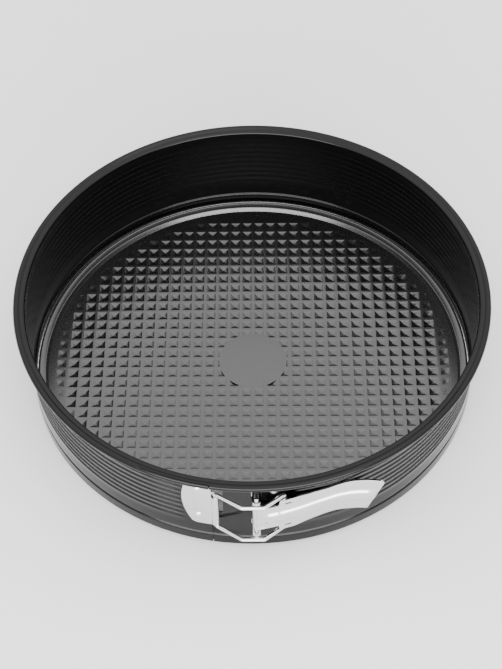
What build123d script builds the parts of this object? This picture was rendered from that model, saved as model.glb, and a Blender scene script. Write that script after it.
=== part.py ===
"""Springform pan, 26 cm nominal: a loose base, a split ring in two halves and an over-centre clasp.

Frame: the origin is the middle of the base's underside, +Z is up, and the clasp is at the front (-Y).
Angles around the ring are measured in degrees from the front: positive towards +X, negative towards -X.
"""
import math
import os

from build123d import *

# ---- ring: radii and heights -------------------------------------------------------------------
WALL_R = 129.91  # inner radius of the ring's wall
SHEET = 0.56  # coated sheet of the ring
WALL_OUT = WALL_R + SHEET
RING_BOTTOM = 3.53
HEM_R = 129.16  # inner radius of the hem at the ring's bottom edge
HEM_TOP = 4.36
BEAD_R = 129.07  # inner radius of the bead above the base's edge
BEAD_Z = 10.96
BEAD_HALF = 0.56  # half height of the bead's crest
BEAD_RUN = 1.3  # height in which the bead runs out into the wall
BRIM_Z = 65.19  # top of the brim
BRIM_BEND = 1.76  # inner radius of the bend from wall to brim
CURL_R = 134.78  # radius at which the rolled edge is centred
CURL_Z = 64.26
CURL = 1.86  # radius of the rolled edge

# ---- ring: where it is split --------------------------------------------------------------------
SEAM = -9.6  # the outer layer of the front lap ends here
SEAM_GAP = 0.2  # degrees left free between the two halves at the seam
BACK_GAP = 0.06  # half of the gap at the back, in degrees
TONGUE_END = -26.0  # the inner layer of the lap runs this far under the outer one
TONGUE_START = -6.5  # here the inner layer joggles out to the full radius
TONGUE_IN = 129.16
TONGUE_OUT = 129.63
TONGUE_Z = (13.93, 62.21)
JOGGLE = 0.8  # degrees

# ---- base -----------------------------------------------------------------------------------------
FLOOR_Z = 1.3  # top of the embossed floor
FLOOR_R = 123.13
STEP_R = 124.71  # top of the step up to the base's edge
STEP_Z = 3.81
EDGE_R = 128.7
EDGE_Z = 5.2
BASE_SHEET = 0.74

# ---- clasp ---------------------------------------------------------------------------------------
CLASP_Z = 39.0  # middle height of lever, pin and bail
ANCHOR = (-19.69, -131.11)  # axis of the bail in the anchor plate's curl
PIVOT = (2.41, -135.76)  # axis of the lever's pin
LUG = (17.46, -131.58)  # axis of the bail's ends behind the lever

WIRE_R = 1.16
ARM_Z = 15.41  # half distance of the bail's two arms
ARM_FRONT_Y = -140.31
ARM_FRONT_X = (-5.2, 6.5)
WIRE_BEND = 2.04
STUB = 7.8  # length of the bail's ends, measured from the arm's axis

PIN_R = 1.21
PIN_FIT = 0.05
PIN_Z = (21.73, 56.55)
EAR_R = 2.37
EAR_Z = (9.94, 16.06)  # lower and upper limit of an ear, from the clasp's middle
BRACKET_SHEET = 0.93
BRACKET_AZ = (-1.6, 7.2)
BRACKET_Z = (20.43, 57.57)
SLOT_PLAY = 0.14

PLATE_SHEET = 0.84
PLATE_Z = (22.01, 57.11)
PLATE_CURL_Z = (26.19, 52.19)
CURL_WINDOW_AZ = (-10.2, -6.9)  # opening of the inner layer behind the anchor plate's curl
CURL_WINDOW_Z = (32.96, 55.71)
PLATE_AZ = (-17.5, SEAM)
PLATE_TOP_X = -35.84  # upper left corner of the plate's rounded outline
PLATE_BULGE = (-37.7, 41.79)
PLATE_LOW = (-32.5, 23.12)
PLATE_CORNER_X = -30.18
PLATE_EDGE_X = -20.43
PANEL_AZ = (-13.9, -11.9)  # plain sunken panel in the plate, between its rivets
PANEL_Z = (34.26, 50.79)
PANEL_DEPTH = 0.28

RIVET_R = 1.21
RIVET_HEAD_R = 2.04
RIVET_HEAD_H = 1.02
ANCHOR_RIVETS = ((-12.9, 54.14), (-12.9, 29.99))  # angle and height
BRACKET_RIVETS = ((5.2, 54.6), (5.2, 23.4))

LEVER_SHEET = 0.93
LEVER_CURL_R = 2.28
LEVER_CURL_HALF = 9.66
HOOK_PLAY = 0.6  # room between the bail's end and the lug on its loaded side
HOOK_WALL = 0.93
HOOK_TIP_Y = -131.75
HOOK_Z = (7.61, 13.56)
HOOK_ROOT_Y = -134.27
HOOK_SLOT_X = (12.35, 16.99)  # room between the two lugs
HOOK_SLOT_Y = -132.97
LEVER_BEND = ((17.46, -133.9), (32.04, -128.51))  # plan of the blade: it leaves the pin and nears the wall
LEVER_FLAT_END = (42.71, -124.43)
LEVER_TIP_BEND = ((56.46, -121.41), (70.57, -122.48))
LUG_X = (14.49, 22.29)
LEVER_EDGE = ((31.57, 12.35), (40.86, 11.61), (55.71, 13.0))  # x and half height of the blade
LEVER_TIP_X = (63.14, 71.04)  # lower and upper corner of the slanted tip
LEVER_TIP_HALF = 13.37
REACH = 148.57  # further out than any piece


def radial_plane(angle):
    """Plane through the pan's axis: local x runs outwards at this angle from the front, local y is up."""
    turn = math.radians(angle - 90)
    outwards = (math.cos(turn), math.sin(turn), 0)
    sideways = (math.sin(turn), -math.cos(turn), 0)
    return Plane(origin=(0, 0, 0), x_dir=outwards, z_dir=sideways)


def wall_profile():
    """Cross-section of the ring: hem, bead, wall, brim and rolled edge."""
    low, high = BEAD_Z - BEAD_HALF, BEAD_Z + BEAD_HALF
    inside_bend = (WALL_R + BRIM_BEND, BRIM_Z - BRIM_BEND)
    with BuildLine() as outline:
        Polyline(
            (WALL_R, BRIM_Z - BRIM_BEND),
            (WALL_R, high + BEAD_RUN),
            (BEAD_R, high),
            (BEAD_R, low),
            (WALL_R, low - BEAD_RUN),
            (WALL_R, HEM_TOP),
            (HEM_R, HEM_TOP),
            (HEM_R, RING_BOTTOM),
            (WALL_OUT, RING_BOTTOM),
            (WALL_OUT, low - BEAD_RUN),
            (BEAD_R + SHEET, low),
            (BEAD_R + SHEET, high),
            (WALL_OUT, high + BEAD_RUN),
            (WALL_OUT, BRIM_Z - BRIM_BEND),
        )
        CenterArc(inside_bend, BRIM_BEND - SHEET, 180, -90)
        Polyline(
            (inside_bend[0], BRIM_Z - SHEET),
            (CURL_R, BRIM_Z - SHEET),
            (CURL_R, BRIM_Z),
            (inside_bend[0], BRIM_Z),
        )
        CenterArc(inside_bend, BRIM_BEND, 90, 90)
    make_face(outline.edges())
    with Locations((CURL_R, CURL_Z)):
        Circle(CURL)


def band(r_in, r_out, z_low, z_high, start, end, mode=Mode.ADD):
    """Piece of a plain cylinder wall between two angles from the front."""
    with BuildSketch(radial_plane(start)) as section:
        with Locations(((r_in + r_out) / 2, (z_low + z_high) / 2)):
            Rectangle(r_out - r_in, z_high - z_low)
    revolve(section.sketch, axis=Axis.Z, revolution_arc=end - start, mode=mode)


def rivet(angle, z, seat_r, tail_r):
    """Rivet with a domed head on the outside, flush on the inside."""
    head_ball = (RIVET_HEAD_R**2 + RIVET_HEAD_H**2) / (2 * RIVET_HEAD_H)
    with BuildSketch(radial_plane(angle)) as section:
        with BuildLine():
            Line((tail_r, z), (seat_r + RIVET_HEAD_H, z))
            RadiusArc((seat_r + RIVET_HEAD_H, z), (seat_r, z + RIVET_HEAD_R), -head_ball)
            Polyline((seat_r, z + RIVET_HEAD_R), (seat_r, z + RIVET_R), (tail_r, z + RIVET_R), (tail_r, z))
        make_face()
    turn = math.radians(angle - 90)
    revolve(section.sketch, axis=Axis((0, 0, z), (math.cos(turn), math.sin(turn), 0)))


def rivet_holes(places):
    """Holes for the rivets' shanks, through everything near the wall."""
    for angle, z in places:
        turn = math.radians(angle - 90)
        outwards = (math.cos(turn), math.sin(turn), 0)
        with BuildSketch(Plane(origin=(0, 0, z), z_dir=outwards).offset(WALL_OUT)) as hole:
            Circle(RIVET_R)
        extrude(hole.sketch, amount=4, both=True, mode=Mode.SUBTRACT)


# ---- base plate --------------------------------------------------------------------------------
with BuildPart() as base_plate:
    with BuildSketch(Plane.XZ):
        with BuildLine():
            Polyline(
                (0, 0),
                (FLOOR_R + BASE_SHEET, 0),
                (STEP_R + BASE_SHEET, STEP_Z - BASE_SHEET),
                (EDGE_R - 1.0, EDGE_Z - BASE_SHEET),
                (EDGE_R, EDGE_Z - BASE_SHEET),
                (EDGE_R, EDGE_Z),
                (EDGE_R - 1.2, EDGE_Z),
                (STEP_R, STEP_Z),
                (FLOOR_R, FLOOR_Z),
                (0, FLOOR_Z),
                close=True,
            )
        make_face()
    revolve(axis=Axis.Z)

# ---- right half of the ring: front lap's inner layer and the clasp's pivot side ------------------
with BuildPart() as band_right:
    with BuildSketch(radial_plane(SEAM + SEAM_GAP)):
        wall_profile()
    revolve(axis=Axis.Z, revolution_arc=180 - BACK_GAP - SEAM - SEAM_GAP)
    band(WALL_R - 1, WALL_OUT + 1, *TONGUE_Z, SEAM - 1, TONGUE_START, mode=Mode.SUBTRACT)
    band(TONGUE_IN, TONGUE_OUT, *TONGUE_Z, TONGUE_END, TONGUE_START + JOGGLE)
    band(TONGUE_IN, WALL_OUT, *TONGUE_Z, TONGUE_START, TONGUE_START + JOGGLE)
    band(TONGUE_IN - 1, TONGUE_OUT + 1, *CURL_WINDOW_Z, *CURL_WINDOW_AZ, mode=Mode.SUBTRACT)
    for side in (-1, 1):
        slot_z = CLASP_Z + side * (EAR_Z[0] + EAR_Z[1]) / 2
        with BuildSketch(Plane.XZ.offset(WALL_R - 5)):
            with Locations((PIVOT[0], slot_z)):
                Rectangle(2 * (EAR_R + SLOT_PLAY), EAR_Z[1] - EAR_Z[0] + 2 * SLOT_PLAY)
        extrude(amount=10, mode=Mode.SUBTRACT)
    rivet_holes(BRACKET_RIVETS)

# ---- left half of the ring: the lap's outer layer ---------------------------------------------------
with BuildPart() as band_left:
    with BuildSketch(radial_plane(-180 + BACK_GAP)):
        wall_profile()
    revolve(axis=Axis.Z, revolution_arc=180 - BACK_GAP + SEAM)
    rivet_holes(ANCHOR_RIVETS)

# ---- anchor plate: riveted to the left half, its front edge rolled around the bail's leg ----------------
with BuildPart() as anchor_plate:
    band(WALL_OUT, WALL_OUT + PLATE_SHEET, *PLATE_Z, *PLATE_AZ)
    with BuildSketch(Plane.XZ):
        with BuildLine():
            ThreePointArc((PLATE_TOP_X, PLATE_Z[1]), PLATE_BULGE, PLATE_LOW)
            Polyline(
                PLATE_LOW,
                (PLATE_CORNER_X, PLATE_Z[0]),
                (PLATE_EDGE_X, PLATE_Z[0]),
                (PLATE_EDGE_X, PLATE_Z[1]),
                (PLATE_TOP_X, PLATE_Z[1]),
            )
        make_face()
    extrude(amount=REACH, mode=Mode.INTERSECT)
    band(WALL_OUT + 0.1, WALL_OUT + PLATE_SHEET, *PLATE_CURL_Z, SEAM - 0.2, SEAM + 1.1)
    with BuildSketch(Plane.XY.offset(PLATE_CURL_Z[0])):
        with Locations(ANCHOR):
            Circle(WIRE_R + PIN_FIT + PLATE_SHEET)
    extrude(amount=PLATE_CURL_Z[1] - PLATE_CURL_Z[0])
    with BuildSketch(Plane.XY.offset(PLATE_CURL_Z[0])):
        with Locations(ANCHOR):
            Circle(WIRE_R + PIN_FIT)
    extrude(amount=PLATE_CURL_Z[1] - PLATE_CURL_Z[0], mode=Mode.SUBTRACT)
    plate_face = WALL_OUT + PLATE_SHEET
    band(plate_face - PANEL_DEPTH, plate_face + PLATE_SHEET, *PANEL_Z, *PANEL_AZ, mode=Mode.SUBTRACT)
    rivet_holes(ANCHOR_RIVETS)

with BuildPart() as anchor_rivets:
    for angle, z in ANCHOR_RIVETS:
        rivet(angle, z, WALL_OUT + PLATE_SHEET, WALL_R)

# ---- hinge bracket: a plate inside the wall, with two ears that pass through it around the pin ----------
with BuildPart() as hinge_bracket:
    band(WALL_R - BRACKET_SHEET, WALL_R, *BRACKET_Z, *BRACKET_AZ)
    for side in (-1, 1):
        ear_z = CLASP_Z + side * (EAR_Z[0] + EAR_Z[1]) / 2
        height = EAR_Z[1] - EAR_Z[0]
        root_y = -WALL_R + BRACKET_SHEET / 2
        with BuildSketch(Plane.XY.offset(ear_z - height / 2)):
            with Locations(PIVOT):
                Circle(EAR_R)
            with Locations((PIVOT[0], (PIVOT[1] + root_y) / 2)):
                Rectangle(2 * EAR_R, root_y - PIVOT[1])
            with Locations(PIVOT):
                Circle(PIN_R + PIN_FIT, mode=Mode.SUBTRACT)
            with Locations((PIVOT[0], (PIVOT[1] - WALL_OUT) / 2)):
                Rectangle(2 * (PIN_R + PIN_FIT), -WALL_OUT - PIVOT[1], mode=Mode.SUBTRACT)
        extrude(amount=height)
    rivet_holes(BRACKET_RIVETS)

with BuildPart() as bracket_rivets:
    for angle, z in BRACKET_RIVETS:
        rivet(angle, z, WALL_OUT, WALL_R - BRACKET_SHEET)

with BuildPart() as pivot_pin:
    with BuildSketch(Plane.XY.offset(PIN_Z[0])):
        with Locations(PIVOT):
            Circle(PIN_R)
    extrude(amount=PIN_Z[1] - PIN_Z[0])
    fillet(pivot_pin.edges().filter_by(GeomType.CIRCLE), PIN_R * 0.6)

# ---- lever: a bent blade, rolled around the pin, with two lugs behind which the bail's ends sit ------
with BuildPart() as lever:
    root = (PIVOT[0], PIVOT[1] - LEVER_CURL_R + LEVER_SHEET / 2)
    with BuildLine(Plane.XY.offset(CLASP_Z - HOOK_Z[1])) as middle:
        ThreePointArc(root, *LEVER_BEND)
        Line(LEVER_BEND[1], LEVER_FLAT_END)
        ThreePointArc(LEVER_FLAT_END, *LEVER_TIP_BEND)
    with BuildSketch(Plane.XY.offset(CLASP_Z - HOOK_Z[1])):
        trace(middle.line, line_width=LEVER_SHEET)
        with Locations((LUG[0] - WIRE_R - HOOK_PLAY - HOOK_WALL / 2, (HOOK_TIP_Y + HOOK_ROOT_Y) / 2)):
            Rectangle(HOOK_WALL, HOOK_TIP_Y - HOOK_ROOT_Y)
    extrude(amount=2 * HOOK_Z[1])
    upper = [(LUG_X[1], HOOK_Z[1]), *LEVER_EDGE, (LEVER_TIP_X[1], LEVER_TIP_HALF)]
    lower = [(LUG_X[1], HOOK_Z[1]), *LEVER_EDGE, (LEVER_TIP_X[0], LEVER_TIP_HALF)]
    with BuildSketch(Plane.XZ):
        with BuildLine():
            Spline(*[(x, CLASP_Z + half) for x, half in upper])
            Line((LEVER_TIP_X[1], CLASP_Z + LEVER_TIP_HALF), (LEVER_TIP_X[0], CLASP_Z - LEVER_TIP_HALF))
            Spline(*[(x, CLASP_Z - half) for x, half in reversed(lower)])
            Polyline(
                (LUG_X[1], CLASP_Z - HOOK_Z[1]),
                (LUG_X[0], CLASP_Z - HOOK_Z[1]),
                (LUG_X[0], CLASP_Z - LEVER_CURL_HALF),
                (0, CLASP_Z - LEVER_CURL_HALF),
                (0, CLASP_Z + LEVER_CURL_HALF),
                (LUG_X[0], CLASP_Z + LEVER_CURL_HALF),
                (LUG_X[0], CLASP_Z + HOOK_Z[1]),
                (LUG_X[1], CLASP_Z + HOOK_Z[1]),
            )
        make_face()
    extrude(amount=REACH, mode=Mode.INTERSECT)
    with BuildSketch(Plane.XZ):
        with Locations((sum(HOOK_SLOT_X) / 2, CLASP_Z)):
            Rectangle(HOOK_SLOT_X[1] - HOOK_SLOT_X[0], 2 * HOOK_Z[0])
    extrude(amount=-HOOK_SLOT_Y, mode=Mode.SUBTRACT)
    with BuildSketch(Plane.XY.offset(CLASP_Z - LEVER_CURL_HALF)):
        with Locations(PIVOT):
            Circle(LEVER_CURL_R)
    extrude(amount=2 * LEVER_CURL_HALF)
    with BuildSketch(Plane.XY.offset(CLASP_Z - LEVER_CURL_HALF)):
        with Locations(PIVOT):
            Circle(PIN_R + PIN_FIT)
    extrude(amount=2 * LEVER_CURL_HALF, mode=Mode.SUBTRACT)

# ---- wire bail: one bent wire, its leg in the anchor plate's curl, its two ends behind the lever --------
with BuildPart() as wire_bail:
    high, low = CLASP_Z + ARM_Z, CLASP_Z - ARM_Z
    corners = [
        (*LUG, high - STUB),
        (*LUG, high),
        (ARM_FRONT_X[1], ARM_FRONT_Y, high),
        (ARM_FRONT_X[0], ARM_FRONT_Y, high),
        (*ANCHOR, high),
        (*ANCHOR, low),
        (ARM_FRONT_X[0], ARM_FRONT_Y, low),
        (ARM_FRONT_X[1], ARM_FRONT_Y, low),
        (*LUG, low),
        (*LUG, low + STUB),
    ]
    with BuildLine() as route:
        FilletPolyline(*corners, radius=WIRE_BEND)
    with BuildSketch(Plane(origin=corners[0], z_dir=(0, 0, 1))):
        Circle(WIRE_R)
    sweep(path=route.wires()[0])

os.makedirs("parts", exist_ok=True)
PIECES = {
    "base_plate": base_plate,
    "band_right": band_right,
    "band_left": band_left,
    "anchor_plate": anchor_plate,
    "anchor_rivets": anchor_rivets,
    "hinge_bracket": hinge_bracket,
    "bracket_rivets": bracket_rivets,
    "pivot_pin": pivot_pin,
    "lever": lever,
    "wire_bail": wire_bail,
}
for name, piece in PIECES.items():
    piece.part.label = name
    export_step(piece.part, f"parts/{name}.step")
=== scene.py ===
"""Looks of the springform pan: ribbed ring, embossed base, stamped lever, coating, steel and wire."""

import math

import bmesh
import bpy
from mathutils import Matrix, Vector


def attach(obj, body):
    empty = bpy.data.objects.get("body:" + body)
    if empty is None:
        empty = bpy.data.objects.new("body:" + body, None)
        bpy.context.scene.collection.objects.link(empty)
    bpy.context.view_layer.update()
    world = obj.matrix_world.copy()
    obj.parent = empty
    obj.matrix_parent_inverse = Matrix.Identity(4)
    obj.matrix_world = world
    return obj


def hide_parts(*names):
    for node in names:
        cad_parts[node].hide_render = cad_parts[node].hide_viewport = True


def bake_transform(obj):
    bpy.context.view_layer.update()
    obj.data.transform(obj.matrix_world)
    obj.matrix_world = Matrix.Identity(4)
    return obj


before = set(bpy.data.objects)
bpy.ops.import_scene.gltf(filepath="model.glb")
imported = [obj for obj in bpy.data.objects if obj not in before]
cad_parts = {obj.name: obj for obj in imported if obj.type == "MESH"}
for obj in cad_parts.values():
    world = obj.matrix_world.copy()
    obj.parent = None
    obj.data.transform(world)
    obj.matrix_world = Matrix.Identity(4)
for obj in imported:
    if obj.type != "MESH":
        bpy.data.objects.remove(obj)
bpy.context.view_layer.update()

SIZE = 260 / 280  # the ring is 260 mm wide inside; the lengths below are drawn for 280 mm
MM = 0.001 * SIZE  # metres in one drawn millimetre

# ---- ring: its section, from bottom to top ---------------------------------------------------------
WALL_MID = 140.2
HALF_SHEET = 0.3
RING_BOTTOM = 3.8
HEM_R = 139.1
HEM_TOP = 4.7
BEAD_Z = 11.8
BEAD_DEPTH = 0.9
BEAD_SPREAD = 1.5
BEAD_SHARPNESS = 0.48
RIB_FIRST = 25.1
RIB_PITCH = 4.5
RIB_COUNT = 9
RIB_DEPTH = 0.55
RIB_STEP = 1.2
RIB_ROWS = (-1.5, -0.6, -0.35, -0.12, 0.12, 0.35, 0.6, 1.5)  # heights of rows around each rib's step
PLAIN_ROWS = (HEM_TOP + 0.3, 7.5, 19.0, 21.0)
SAME_ROW = 0.04  # rows closer than this are one
BEND_Z = 68.3
BEND_R = 1.9
BEND_STEPS = 8
BRIM_Z = 70.2
BRIM_EDGE_R = 143.1  # the flat brim ends here, and the rolled edge begins
BRIM_FALL = 0.08
CURL_R = 145.15
CURL_Z = 69.2
CURL = 2.0
CURL_START = 140  # degrees
CURL_TURN = 13.5  # degrees for each of its points
CURL_POINTS = 25

# ---- ring: angles from the front in degrees, positive to the right -----------------------------------
SIDE = 90.0  # the front halves end here, and the back begins
SEAM_LEFT = -9.6
SEAM_RIGHT = -9.4
RIBS_LEFT = (-16.2, -18.0)  # the ribs grow from nothing to their full depth between these
RIBS_RIGHT = (8.0, 11.0)
JOGGLE = (-6.5, -2.4)  # the inner layer steps out to the full radius
WINDOW_START = -10.2
WINDOW_END = -6.9
WINDOW_Z = (35.5, 60.0)
SLOT_AZ = (-0.15, 2.3)
EAR_Z = (10.7, 17.3)  # from the clasp's middle height
CLASP_Z = 42.0

# ---- ring: the lap, an inner layer under the outer one ----------------------------------------------
TONGUE_END = -26.0
TONGUE_HALF_SHEET = 0.22
LAP_Z = (15.0, 67.0)
LAP_RUN = 2.0  # height in which the inner layer leaves the wall
LAP_SHIFT = 0.85
LAP_SHEET = 0.32
LAP_POINTS = 15  # of the rim's outline: bend, brim and inner side of the rolled edge
TONGUE_MARGIN = 0.4
RIM_STEP = 0.05  # the outer layer's rim steps down within this angle on both sides of the tongue's end
STRIP_SHIFT = 0.5
STRIP_AZ = (SEAM_LEFT - 1.0, SEAM_RIGHT + 0.8)
STRIP_LOW_Z = (HEM_TOP, LAP_Z[0] + 1.6)
STRIP_TOP_Z = (LAP_Z[1] - 1.6, BEND_Z)

# ---- base -------------------------------------------------------------------------------------------
FLOOR_Z = 1.4
WAFFLE_PITCH = 8.0
WAFFLE_X = 4.05
WAFFLE_Y = -1.84
WAFFLE_R = 128.5
WAFFLE_FADE = 8.0  # the pits grow shallower over this distance
PIT_HALF = 3.45
PIT_DEPTH = 1.05
PIT_TIP = 0.45
PIT_EDGES = ((0.3, 0.05), (0.6, 0.16))  # rounding of a pit's edge: distance inwards and depth
PIT_NARROWING = 0.4  # share of its width that a pit loses where it has faded out
PIT_LEAST = 0.05  # a pit that has faded below this share is left out
CELL_CORNERS = ((-1, -1), (1, -1), (1, 1), (-1, 1))
MEDALLION_R = 22.0
MEDALLION_RISE = 0.02
MEDALLION_BEVEL = 0.15


def smooth(value, low, high):
    """0 below low, 1 above high, and a soft step between them."""
    t = min(1.0, max(0.0, (value - low) / (high - low)))
    return t * t * (3 - 2 * t)


def around(radius, angle, z):
    """Point at a radius and an angle from the front, in metres."""
    turn = math.radians(angle - 90)
    return Vector((radius * math.cos(turn), radius * math.sin(turn), z)) * MM


def skin(count, size, closed=False):
    """Quads between neighbouring rows of points, each with the same number of points."""
    faces = []
    for i in range(count if closed else count - 1):
        k = (i + 1) % count
        faces += [(i * size + j, i * size + j + 1, k * size + j + 1, k * size + j) for j in range(size - 1)]
    return faces


def add_mesh(name, points, faces, material, sharp=35):
    """Smooth-shaded piece whose edges stay sharp above the given angle."""
    mesh = bpy.data.meshes.new(name)
    mesh.from_pydata(points, [], faces)
    tidy = bmesh.new()
    tidy.from_mesh(mesh)
    bmesh.ops.remove_doubles(tidy, verts=tidy.verts, dist=1e-6)
    bmesh.ops.recalc_face_normals(tidy, faces=tidy.faces)
    tidy.to_mesh(mesh)
    tidy.free()
    mesh.shade_smooth()
    mesh.set_sharp_from_angle(angle=math.radians(sharp))
    mesh.materials.append(material)
    piece = bpy.data.objects.new(name, mesh)
    bpy.context.collection.objects.link(piece)
    return piece


# ---- materials ------------------------------------------------------------------------------------
def surface(name, color, metallic, roughness):
    """New material, with its node tree and its shader."""
    material = bpy.data.materials.new(name)
    material.use_nodes = True
    shader = material.node_tree.nodes["Principled BSDF"]
    shader.inputs["Base Color"].default_value = (*color, 1)
    shader.inputs["Metallic"].default_value = metallic
    shader.inputs["Roughness"].default_value = roughness
    return material, material.node_tree, shader


def grain(tree, shader, scale, stretch, roughness, bump):
    """Fine noise that varies the roughness and lifts the surface a little."""
    place = tree.nodes.new("ShaderNodeTexCoord")
    squeeze = tree.nodes.new("ShaderNodeMapping")
    squeeze.inputs["Scale"].default_value = stretch
    noise = tree.nodes.new("ShaderNodeTexNoise")
    noise.inputs["Scale"].default_value = scale
    noise.inputs["Detail"].default_value = 4
    spread = tree.nodes.new("ShaderNodeMapRange")
    spread.inputs["To Min"].default_value = roughness[0]
    spread.inputs["To Max"].default_value = roughness[1]
    lift = tree.nodes.new("ShaderNodeBump")
    lift.inputs["Strength"].default_value = bump
    lift.inputs["Distance"].default_value = 0.0001
    tree.links.new(place.outputs["Object"], squeeze.inputs["Vector"])
    tree.links.new(squeeze.outputs["Vector"], noise.inputs["Vector"])
    tree.links.new(noise.outputs["Fac"], spread.inputs["Value"])
    tree.links.new(spread.outputs["Result"], shader.inputs["Roughness"])
    tree.links.new(noise.outputs["Fac"], lift.inputs["Height"])
    tree.links.new(lift.outputs["Normal"], shader.inputs["Normal"])
    return noise


def tint(tree, shader, noise, dark, light):
    """Slight change of colour with the grain."""
    ramp = tree.nodes.new("ShaderNodeValToRGB")
    ramp.color_ramp.elements[0].color = (*dark, 1)
    ramp.color_ramp.elements[1].color = (*light, 1)
    tree.links.new(noise.outputs["Fac"], ramp.inputs["Fac"])
    tree.links.new(ramp.outputs["Color"], shader.inputs["Base Color"])


def coating(name, level, roughness):
    """Dark non-stick coating with a fine even grain."""
    material, tree, shader = surface(name, (level,) * 3, 1.0, 0.25)
    noise = grain(tree, shader, 900, (1, 1, 1), roughness, 0.05)
    tint(tree, shader, noise, (level * 0.9,) * 3, (level * 1.1,) * 3)
    return material


def brushed(name, level, stretch, roughness, bump):
    """Bare steel, its grain drawn out by the stretch."""
    material, tree, shader = surface(name, (level,) * 3, 1.0, 0.3)
    noise = grain(tree, shader, 260, stretch, roughness, bump)
    tint(tree, shader, noise, (level * 0.94,) * 3, (level * 1.04,) * 3)
    return material


ring_coat = coating("ring_coating", 0.025, (0.14, 0.22))
base_coat = coating("base_coating", 0.098, (0.22, 0.32))
steel = brushed("satin_steel", 0.7, (1, 1, 9), (0.12, 0.22), 0.06)
rivet_steel = brushed("rivet_steel", 0.85, (2, 2, 2), (0.1, 0.18), 0.03)
wire_steel = brushed("polished_wire", 0.74, (1, 1, 1), (0.06, 0.14), 0.02)


# ---- ring -------------------------------------------------------------------------------------------
def rib_offset(z):
    """Saw-tooth ribs: the radius grows slowly going up, then steps back in."""
    position = (z - RIB_FIRST) / RIB_PITCH
    if not -1 < position < RIB_COUNT - 0.4:
        return 0.0
    phase = (position - math.floor(position)) * RIB_PITCH
    half = RIB_STEP / 2
    if phase < half:
        level = 0.5 - 0.5 * smooth(phase, -half, half) * 2
    elif phase > RIB_PITCH - half:
        level = 0.5 - smooth(phase, RIB_PITCH - half, RIB_PITCH + half)
    else:
        level = -0.5 + (phase - half) / (RIB_PITCH - RIB_STEP)
    return RIB_DEPTH * level * smooth(position, -1, -0.6)


def heights():
    """Heights of the wall's rows: close together on the bead and on the ribs' steps."""
    rows = [*WINDOW_Z, *PLAIN_ROWS, BEND_Z]
    for step in range(5):
        rows += [LAP_Z[0] + step / 2, LAP_Z[1] - step / 2]
    rows += [CLASP_Z + side * limit for side in (-1, 1) for limit in EAR_Z]
    rows += [BEAD_Z + BEAD_SPREAD * step / 5 for step in range(-8, 9)]
    for rib in range(RIB_COUNT):
        middle = RIB_FIRST + rib * RIB_PITCH
        rows += [middle + part for part in RIB_ROWS]
    rows = sorted(round(z, 3) for z in rows if HEM_TOP < z <= BEND_Z)
    return [z for i, z in enumerate(rows) if i == 0 or z - rows[i - 1] > SAME_ROW or z in WINDOW_Z]


ROWS = heights()


def rib_strength(angle):
    """Ribs run out on both sides of the clasp."""
    return max(smooth(-angle, -RIBS_LEFT[0], -RIBS_LEFT[1]), smooth(angle, *RIBS_RIGHT))


def wall_mid(angle, z, inner_layer):
    """Middle radius of the wall's sheet, with its ribs, its bead and the inner layer's joggle."""
    radius = WALL_MID + rib_offset(z) * rib_strength(angle)
    radius -= BEAD_DEPTH * math.exp(-(((z - BEAD_Z) / (BEAD_SPREAD * BEAD_SHARPNESS)) ** 2))
    if inner_layer:
        inside = smooth(z, LAP_Z[0], LAP_Z[0] + LAP_RUN) * (1 - smooth(z, LAP_Z[1] - LAP_RUN, LAP_Z[1]))
        radius -= LAP_SHIFT * inside * (1 - smooth(angle, *JOGGLE))
    return radius


def rim(shrink):
    """Upper surface of bend, brim and rolled edge, from the wall outwards."""
    points = []
    radius = BEND_R - shrink
    middle = WALL_MID - HALF_SHEET + BEND_R
    for step in range(1, BEND_STEPS + 1):
        turn = math.pi - math.pi / 2 * step / BEND_STEPS
        points.append((middle + radius * math.cos(turn), BEND_Z - shrink / 4 + radius * math.sin(turn)))
    points.append((BRIM_EDGE_R, BRIM_Z - BRIM_FALL - shrink))
    for step in range(CURL_POINTS):
        degrees = CURL_START - CURL_TURN * step
        turn = math.radians(degrees)
        radius = CURL - shrink * smooth(degrees, 45, 70)
        points.append((CURL_R + radius * math.cos(turn), CURL_Z + radius * math.sin(turn)))
    return points


def section(angle, inner_layer):
    """Closed outline of the ring, inside surface first, as radius and height."""
    outline = [(HEM_R, RING_BOTTOM), (HEM_R, HEM_TOP)]
    outline += [(wall_mid(angle, z, inner_layer) - HALF_SHEET, z) for z in ROWS]
    lapped = not inner_layer and TONGUE_END < angle < 0
    outline += rim(LAP_SHEET if lapped else 0.0)
    outline.append((BRIM_EDGE_R, BRIM_Z - 2 * HALF_SHEET))
    bend = BEND_R - 2 * HALF_SHEET
    for step in range(BEND_STEPS + 1):
        turn = math.pi / 2 + math.pi / 2 * step / BEND_STEPS
        outline.append((WALL_MID + HALF_SHEET + bend * (1 + math.cos(turn)), BEND_Z + bend * math.sin(turn)))
    outline += [(wall_mid(angle, z, inner_layer) + HALF_SHEET, z) for z in reversed(ROWS[:-1])]
    outline.append((WALL_MID + HALF_SHEET, RING_BOTTOM))
    return outline


def stations(start, end, stops=(), step=0.75):
    """Evenly spaced angles, with the stops among them."""
    count = max(1, math.ceil((end - start) / step))
    found = [start + (end - start) * i / count for i in range(count + 1)]
    return sorted(set(found + [s for s in stops if start < s < end]))


def opening_here(angle, z):
    """Punched openings of the right half: the window behind the plate's curl and the ears' slots."""
    if angle < WINDOW_END and WINDOW_Z[0] < z < WINDOW_Z[1]:
        return True
    return SLOT_AZ[0] < angle < SLOT_AZ[1] and EAR_Z[0] < abs(z - CLASP_Z) < EAR_Z[1]


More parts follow.
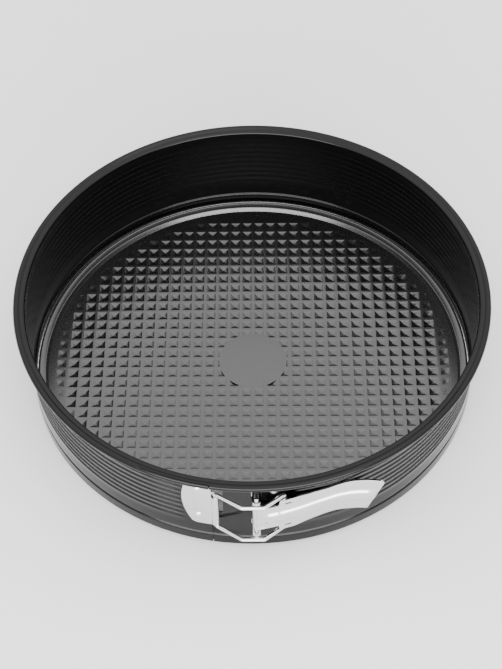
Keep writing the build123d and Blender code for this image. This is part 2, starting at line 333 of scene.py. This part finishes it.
def ring_piece(name, start, end, inner_layer, closed_start, closed_end):
    """Part of the ring between two angles, with its openings and, where asked, a closed sheet edge."""
    angles = stations(start, end, (WINDOW_END, *SLOT_AZ, TONGUE_END - RIM_STEP, TONGUE_END + RIM_STEP))
    outlines = [section(angle, inner_layer) for angle in angles]
    size = len(outlines[0])
    points = [around(r, angle, z) for angle, outline in zip(angles, outlines) for r, z in outline]
    faces = []
    for i in range(len(angles) - 1):
        middle = (angles[i] + angles[i + 1]) / 2
        for j in range(size):
            k = (j + 1) % size
            z = (outlines[i][j][1] + outlines[i][k][1]) / 2
            on_wall = outlines[i][j][0] < WALL_MID + 4 * HALF_SHEET
            if inner_layer and on_wall and opening_here(middle, z):
                continue
            faces.append((i * size + j, i * size + k, (i + 1) * size + k, (i + 1) * size + j))
    closed = [0] * closed_start + [len(angles) - 1] * closed_end
    for first in (end_row * size for end_row in closed):
        for j in range(len(ROWS) + 1):
            if inner_layer and WINDOW_Z[0] <= outlines[0][j][1] < WINDOW_Z[1]:
                continue
            k = size - 1 - j
            faces.append((first + j, first + j + 1, first + k - 1, first + k))
    return add_mesh(name, points, faces, ring_coat)


ring_front_right = ring_piece("ring_front_right", SEAM_RIGHT, SIDE, True, True, False)
ring_back = ring_piece("ring_back", SIDE, 360 - SIDE, False, False, False)
ring_front_left = ring_piece("ring_front_left", -SIDE, SEAM_LEFT, False, False, True)
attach(ring_front_right, "ring_right")
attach(ring_front_left, "ring_left")
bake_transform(ring_back)
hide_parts("band_right")
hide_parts("band_left")


def lap_tongue():
    """Inner layer of the lap, under the outer one."""
    angles = stations(TONGUE_END, SEAM_RIGHT, (WINDOW_START,))
    rows = [z for z in ROWS if LAP_Z[0] + TONGUE_MARGIN < z < LAP_Z[1] - TONGUE_MARGIN]
    points, faces = [], []
    for angle in angles:
        for side in (-1, 1):
            for z in rows:
                middle = WALL_MID - LAP_SHIFT + rib_offset(z) * rib_strength(angle)
                points.append(around(middle + side * TONGUE_HALF_SHEET, angle, z))
    size = len(rows)
    for i in range(len(angles) - 1):
        middle = (angles[i] + angles[i + 1]) / 2
        for side in (0, 1):
            for j in range(size - 1):
                z = (rows[j] + rows[j + 1]) / 2
                if middle > WINDOW_START and WINDOW_Z[0] < z < WINDOW_Z[1]:
                    continue
                a = (2 * i + side) * size + j
                faces.append((a, a + 1, a + 1 + 2 * size, a + 2 * size))
    for j in range(size - 1):
        faces.append((j, j + 1, j + 1 + size, j + size))
    return add_mesh("lap_tongue", points, faces, ring_coat)


def lap_brim():
    """The inner layer's rim, on the outer layer's as far as the crest, so that the two can slide apart."""
    angles = stations(TONGUE_END, SEAM_RIGHT)
    outline = rim(0.0)[:LAP_POINTS]
    points = [around(r, angle, z) for angle in angles for r, z in outline]
    return add_mesh("lap_brim", points, skin(len(angles), len(outline)), ring_coat)


def seam_strip(name, low, high):
    """Backing of the seam above or below the tongue, so that no light passes between the two halves."""
    angles = stations(*STRIP_AZ)
    rows = [z for z in ROWS if low <= z <= high]
    points = [around(wall_mid(angle, z, False) - STRIP_SHIFT, angle, z) for angle in angles for z in rows]
    return add_mesh(name, points, skin(len(angles), len(rows)), ring_coat)


lap_pieces = [lap_tongue(), lap_brim()]
lap_pieces += [seam_strip("seam_strip_low", *STRIP_LOW_Z), seam_strip("seam_strip_top", *STRIP_TOP_Z)]
for piece in lap_pieces:
    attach(piece, "ring_right")


# ---- base ---------------------------------------------------------------------------------------------
def medallion():
    """Flat round patch in the middle, which cuts off the pits around it."""
    steps = 120
    outline = (
        (MEDALLION_R, FLOOR_Z - 0.1),
        (MEDALLION_R, FLOOR_Z),
        (MEDALLION_R - MEDALLION_BEVEL, FLOOR_Z + MEDALLION_RISE),
    )
    points = [around(radius, 360 * i / steps, z) for radius, z in outline for i in range(steps)]
    faces = []
    for level in (0, 1):
        for i in range(steps):
            k = (i + 1) % steps
            a = level * steps
            faces.append((a + i, a + k, a + steps + k, a + steps + i))
    faces.append(tuple(range(2 * steps, 3 * steps)))
    return add_mesh("base_medallion", points, faces, base_coat)


def base_floor():
    """Embossed floor: square pits in a grid, none on the medallion, fading out at the edge."""
    points, faces = [], []
    reach = int(WAFFLE_R / WAFFLE_PITCH) + 2

    def place(x, y, z):
        distance = math.hypot(x, y)
        if distance > WAFFLE_R:
            x, y = x * WAFFLE_R / distance, y * WAFFLE_R / distance
        points.append(Vector((x, y, z)) * MM)
        return len(points) - 1

    for column in range(-reach, reach):
        for row in range(-reach, reach):
            x = WAFFLE_PITCH * column + WAFFLE_X
            y = WAFFLE_PITCH * row + WAFFLE_Y
            half = WAFFLE_PITCH / 2
            corners = [(x + i * half, y + j * half) for i, j in CELL_CORNERS]
            if min(math.hypot(*corner) for corner in corners) >= WAFFLE_R:
                continue
            outer = [place(*corner, FLOOR_Z) for corner in corners]
            distance = math.hypot(x, y)
            fade = 1 - smooth(distance, WAFFLE_R - WAFFLE_FADE, WAFFLE_R + 1)
            spans = [math.hypot(*corner) for corner in corners]
            if max(spans) <= MEDALLION_R or fade < PIT_LEAST:
                faces.append(tuple(outer))
                continue
            size = PIT_HALF * (1 - PIT_NARROWING + PIT_NARROWING * fade)
            levels = (
                (size, FLOOR_Z),
                (size - PIT_EDGES[0][0], FLOOR_Z - PIT_EDGES[0][1]),
                (size - PIT_EDGES[1][0], FLOOR_Z - PIT_EDGES[1][1] * fade),
                (PIT_TIP, FLOOR_Z - PIT_DEPTH * fade),
            )
            loops = [outer]
            for extent, z in levels:
                loops.append([place(x + i * extent, y + j * extent, z) for i, j in CELL_CORNERS])
            for a, b in zip(loops, loops[1:]):
                for i in range(4):
                    k = (i + 1) % 4
                    faces.append((a[i], a[k], b[k], b[i]))
            faces.append(tuple(loops[-1]))
    return add_mesh("base_floor", points, faces, base_coat, sharp=25)


def base_edge():
    """The base outside its embossed floor: step, sloping edge and flat underside."""
    outline = [
        (WAFFLE_R - 1.5, FLOOR_Z - 0.02),
        (WAFFLE_R + 0.5, FLOOR_Z - 0.02),
        (132.5, FLOOR_Z),
        (132.75, FLOOR_Z + 0.3),
        (133.7, 3.8),
        (133.95, 4.05),
        (134.2, 4.1),
        (136.9, 4.12),
        (137.5, 4.5),
        (137.7, 5.4),
        (137.9, 5.58),
        (138.4, 5.45),
        (138.6, 5.1),
        (138.5, 4.8),
        (137.8, 4.0),
        (137.0, 3.5),
        (135.1, 3.3),
        (133.6, 0.3),
        (132.8, 0.0),
        (0.001, 0.0),
    ]
    angles = range(360)
    points = [around(r, angle, z) for angle in angles for r, z in outline]
    return add_mesh("base_edge", points, skin(len(angles), len(outline), closed=True), base_coat, sharp=40)


base_pieces = (base_floor(), base_edge(), medallion())
for piece in base_pieces:
    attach(piece, "base")
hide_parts("base_plate")


# ---- lever ------------------------------------------------------------------------------------------
PIVOT = Vector((2.6, -146.2))
LEVER_HALF_SHEET = 0.5
LEVER_CURL_R = 2.45
LEVER_CURL_HALF = 10.4
LUG_HALF = 14.6
LUG_X = (15.6, 24.0)
LUG_H = (8.4, 14.4)
LUG_SHEET_X = (15.9, 16.9)
LUG_Y = (-144.9, -141.9)
LUG_CORNER = 0.2
SLIT_X = (18.6, 21.9)  # cuts that part the lugs from the blade
SLIT_H = (10.4, 11.3)
BLADE_BEND = ((18.8, -144.2), (34.5, -138.4))  # plan: the blade leaves the pin and nears the wall
BLADE_FLAT_END = (46.0, -134.0)
BLADE_TIP_BEND = ((60.8, -130.75), (76.0, -131.9))
BLADE_ROWS = 56
TIP_X = 66.0  # the slanted tip begins here
TIP_LOW = 0.2  # its lower corner reaches this share of its upper corner's length
TIP_ROUNDING = (73.0, 3.0, 1.5)  # where it starts, its length and its depth
RAISED_HEIGHT = 1.6  # of the middle rib
RAISED_START = (6.0, 9.5)
RAISED_END = (66.0, 74.0)
RAISED_SIDE = (2.3, 5.7)
EDGE_ROLL = 0.2
EDGE_ROLL_WIDTH = 1.2
EDGE_ROLL_RUN = 5.0
HALF_HEIGHTS = ((24.0, 14.6), (34.0, 13.3), (44.0, 12.5), (60.0, 14.0), (68.0, 14.4), (76.5, 14.4))


def arc_through(a, b, c, count):
    """Points on the circle through three points, from a to c."""
    a, b, c = Vector(a), Vector(b), Vector(c)
    d = 2 * (a.x * (b.y - c.y) + b.x * (c.y - a.y) + c.x * (a.y - b.y))
    aa, bb, cc = a.length_squared, b.length_squared, c.length_squared
    middle = Vector(
        (
            (aa * (b.y - c.y) + bb * (c.y - a.y) + cc * (a.y - b.y)) / d,
            (aa * (c.x - b.x) + bb * (a.x - c.x) + cc * (b.x - a.x)) / d,
        )
    )
    radius = (a - middle).length
    first = math.atan2(*(a - middle).yx)
    sweep = math.atan2(*(c - middle).yx) - first
    sweep -= 2 * math.pi * round(sweep / (2 * math.pi))
    turns = [first + sweep * i / count for i in range(count + 1)]
    return [middle + radius * Vector((math.cos(turn), math.sin(turn))) for turn in turns]


def half_height(x):
    """Half of the lever's height at a place along it."""
    if x < LUG_X[0]:
        return LEVER_CURL_HALF
    if x <= LUG_X[1]:
        return LUG_HALF
    for (x0, h0), (x1, h1) in zip(HALF_HEIGHTS, HALF_HEIGHTS[1:]):
        if x <= x1:
            return h0 + (h1 - h0) * smooth(x, x0, x1)
    return HALF_HEIGHTS[-1][1]


def lever_mesh():
    """Stamped blade with a raised middle rib, rolled around the pin at its root."""
    root = PIVOT + Vector((0, -LEVER_CURL_R + LEVER_HALF_SHEET))
    flat_start, flat_end = Vector(BLADE_BEND[1]), Vector(BLADE_FLAT_END)
    plan = arc_through(root, *BLADE_BEND, 44)
    plan += [flat_start.lerp(flat_end, i / 12) for i in range(1, 12)]
    plan += arc_through(flat_end, *BLADE_TIP_BEND, 36)
    rows = BLADE_ROWS
    points, faces = [], []
    for i, place in enumerate(plan):
        along = (plan[min(i + 1, len(plan) - 1)] - plan[max(i - 1, 0)]).normalized()
        outwards = Vector((along.y, -along.x))
        rounding = max(0.0, (place.x - TIP_ROUNDING[0]) / TIP_ROUNDING[1]) ** 3
        half = half_height(place.x) - TIP_ROUNDING[2] * rounding
        for side in (-1, 1):
            for row in range(rows + 1):
                h = half * (2 * row / rows - 1)
                x = place.x
                if x > TIP_X:
                    x = TIP_X + (x - TIP_X) * (TIP_LOW + (1 - TIP_LOW) * (h / half + 1) / 2)
                raised = smooth(x, *RAISED_START) * (1 - smooth(x, *RAISED_END))
                raised *= 1 - smooth(abs(h), *RAISED_SIDE)
                roll = smooth(abs(h), half - EDGE_ROLL_WIDTH, half)
                roll *= smooth(x, LUG_X[1], LUG_X[1] + EDGE_ROLL_RUN)
                lift = side * LEVER_HALF_SHEET + RAISED_HEIGHT * raised - EDGE_ROLL * roll
                spot = place + along * (x - place.x) + outwards * lift
                points.append(Vector((spot.x, spot.y, CLASP_Z + h)) * MM)
    size = rows + 1
    last = len(plan) - 1
    for i in range(last):
        for row in range(rows):
            h = half_height(plan[i].x) * abs(2 * (row + 0.5) / rows - 1)
            if SLIT_X[0] < plan[i].x < SLIT_X[1] and SLIT_H[0] < h < SLIT_H[1]:
                continue
            for side in (0, 1):
                a = (2 * i + side) * size + row
                faces.append((a, a + 1, a + 1 + 2 * size, a + 2 * size))
        for row in (0, rows):
            a = 2 * i * size + row
            faces.append((a, a + size, a + 3 * size, a + 2 * size))
    for row in range(rows):
        for i in (0, last):
            a = 2 * i * size + row
            faces.append((a, a + 1, a + 1 + size, a + size))
    return add_mesh("lever_blade", points, faces, steel)


def lever_curl():
    """The root's roll around the pin, an open tube with sheet thickness."""
    points, faces = [], []
    steps = 40
    inner = LEVER_CURL_R - 2 * LEVER_HALF_SHEET
    for i in range(steps + 1):
        turn = math.radians(-90 - 330 * i / steps)
        for radius in (LEVER_CURL_R, inner):
            for side in (-1, 1):
                x = PIVOT.x + radius * math.cos(turn)
                y = PIVOT.y + radius * math.sin(turn)
                points.append(Vector((x, y, CLASP_Z + side * LEVER_CURL_HALF)) * MM)
    for i in range(steps):
        a, b = 4 * i, 4 * i + 4
        faces += [(a, a + 1, b + 1, b), (a + 2, a + 3, b + 3, b + 2)]
        faces += [(a, a + 2, b + 2, b), (a + 1, a + 3, b + 3, b + 1)]
    faces += [(0, 1, 3, 2), (4 * steps, 4 * steps + 1, 4 * steps + 3, 4 * steps + 2)]
    return add_mesh("lever_curl", points, faces, steel)


def lever_lug(name, side):
    """Tab bent behind the blade, which holds one end of the bail."""
    low, high = (CLASP_Z + side * limit for limit in LUG_H)
    (left, right), (root, tip) = LUG_SHEET_X, LUG_Y
    corners = [(left, root), (right, root), (right, tip - LUG_CORNER)]
    corners += [(right - LUG_CORNER, tip), (left + LUG_CORNER, tip), (left, tip - LUG_CORNER)]
    points = [Vector((x, y, z)) * MM for z in (low, high) for x, y in corners]
    size = len(corners)
    faces = [tuple(range(size)), tuple(range(size, 2 * size))]
    faces += [(i, (i + 1) % size, (i + 1) % size + size, i + size) for i in range(size)]
    return add_mesh(name, points, faces, steel)


lever = lever_mesh()
lever_pieces = (lever, lever_curl(), lever_lug("lever_lug_top", 1), lever_lug("lever_lug_low", -1))
for piece in lever_pieces:
    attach(piece, "clasp_lever")
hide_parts("lever")

# ---- solids that keep their shape -------------------------------------------------------------------
FINISH = {
    "anchor_plate": steel,
    "hinge_bracket": steel,
    "anchor_rivets": rivet_steel,
    "bracket_rivets": rivet_steel,
    "pivot_pin": rivet_steel,
    "wire_bail": wire_steel,
}
for node, material in FINISH.items():
    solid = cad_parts[node]
    for index in range(len(solid.material_slots)):
        solid.material_slots[index].material = material

# ---- floor, light and camera ------------------------------------------------------------------------
bpy.ops.mesh.primitive_plane_add(size=6, location=(0, 0, -0.0002))
ground = bpy.context.object
ground.name = "studio_floor"
paper = surface("floor_paper", (0.9, 0.9, 0.9), 0.0, 0.8)[0]
ground.data.materials.append(paper)

world = bpy.data.worlds.new("studio")
world.use_nodes = True
sky = world.node_tree.nodes["Background"]
sky.inputs["Strength"].default_value = 2.3
sky_place = world.node_tree.nodes.new("ShaderNodeTexCoord")
sky_split = world.node_tree.nodes.new("ShaderNodeSeparateXYZ")
sky_ramp = world.node_tree.nodes.new("ShaderNodeValToRGB")
sky_ramp.color_ramp.elements[0].position = 0.05
sky_ramp.color_ramp.elements[0].color = (0.42, 0.42, 0.42, 1)
sky_ramp.color_ramp.elements[1].position = 0.75
sky_ramp.color_ramp.elements[1].color = (1, 1, 1, 1)
world.node_tree.links.new(sky_place.outputs["Generated"], sky_split.inputs["Vector"])
world.node_tree.links.new(sky_split.outputs["Z"], sky_ramp.inputs["Fac"])
world.node_tree.links.new(sky_ramp.outputs["Color"], sky.inputs["Color"])
bpy.context.scene.world = world


def softbox(name, place, target, size, power):
    """Rectangular light that faces a target; places and sizes in metres."""
    light = bpy.data.lights.new(name, "AREA")
    light.shape = "RECTANGLE"
    light.size, light.size_y = size
    light.energy = power
    box = bpy.data.objects.new(name, light)
    box.location = place
    box.rotation_euler = (Vector(target) - Vector(place)).to_track_quat("-Z", "Y").to_euler()
    bpy.context.collection.objects.link(box)


softbox("key", (0.5, -0.5, 1.6), (0, 0, 0), (1.2, 1.2), 4)
softbox("front", (0.0, -1.2, 0.42), (0, -0.1, 0.05), (2.0, 0.6), 34)

VIEW_PLACE = Vector((8.33, -662.2, 844.0)) * MM
VIEW_FORWARD = Vector((-0.008807, 0.630115, -0.776452)).normalized()
VIEW_RIGHT = Vector((0.99995, 0.0012, -0.0102))
VIEW_LENS = 88.82

camera = bpy.data.cameras.new("camera")
camera.lens = VIEW_LENS
camera.sensor_width = 36
viewer = bpy.data.objects.new("camera", camera)
bpy.context.collection.objects.link(viewer)
right = (VIEW_RIGHT - VIEW_FORWARD * VIEW_RIGHT.dot(VIEW_FORWARD)).normalized()
upwards = right.cross(VIEW_FORWARD)
turn = Matrix((right, upwards, -VIEW_FORWARD)).transposed().to_4x4()
viewer.matrix_world = Matrix.Translation(VIEW_PLACE) @ turn
bpy.context.scene.camera = viewer
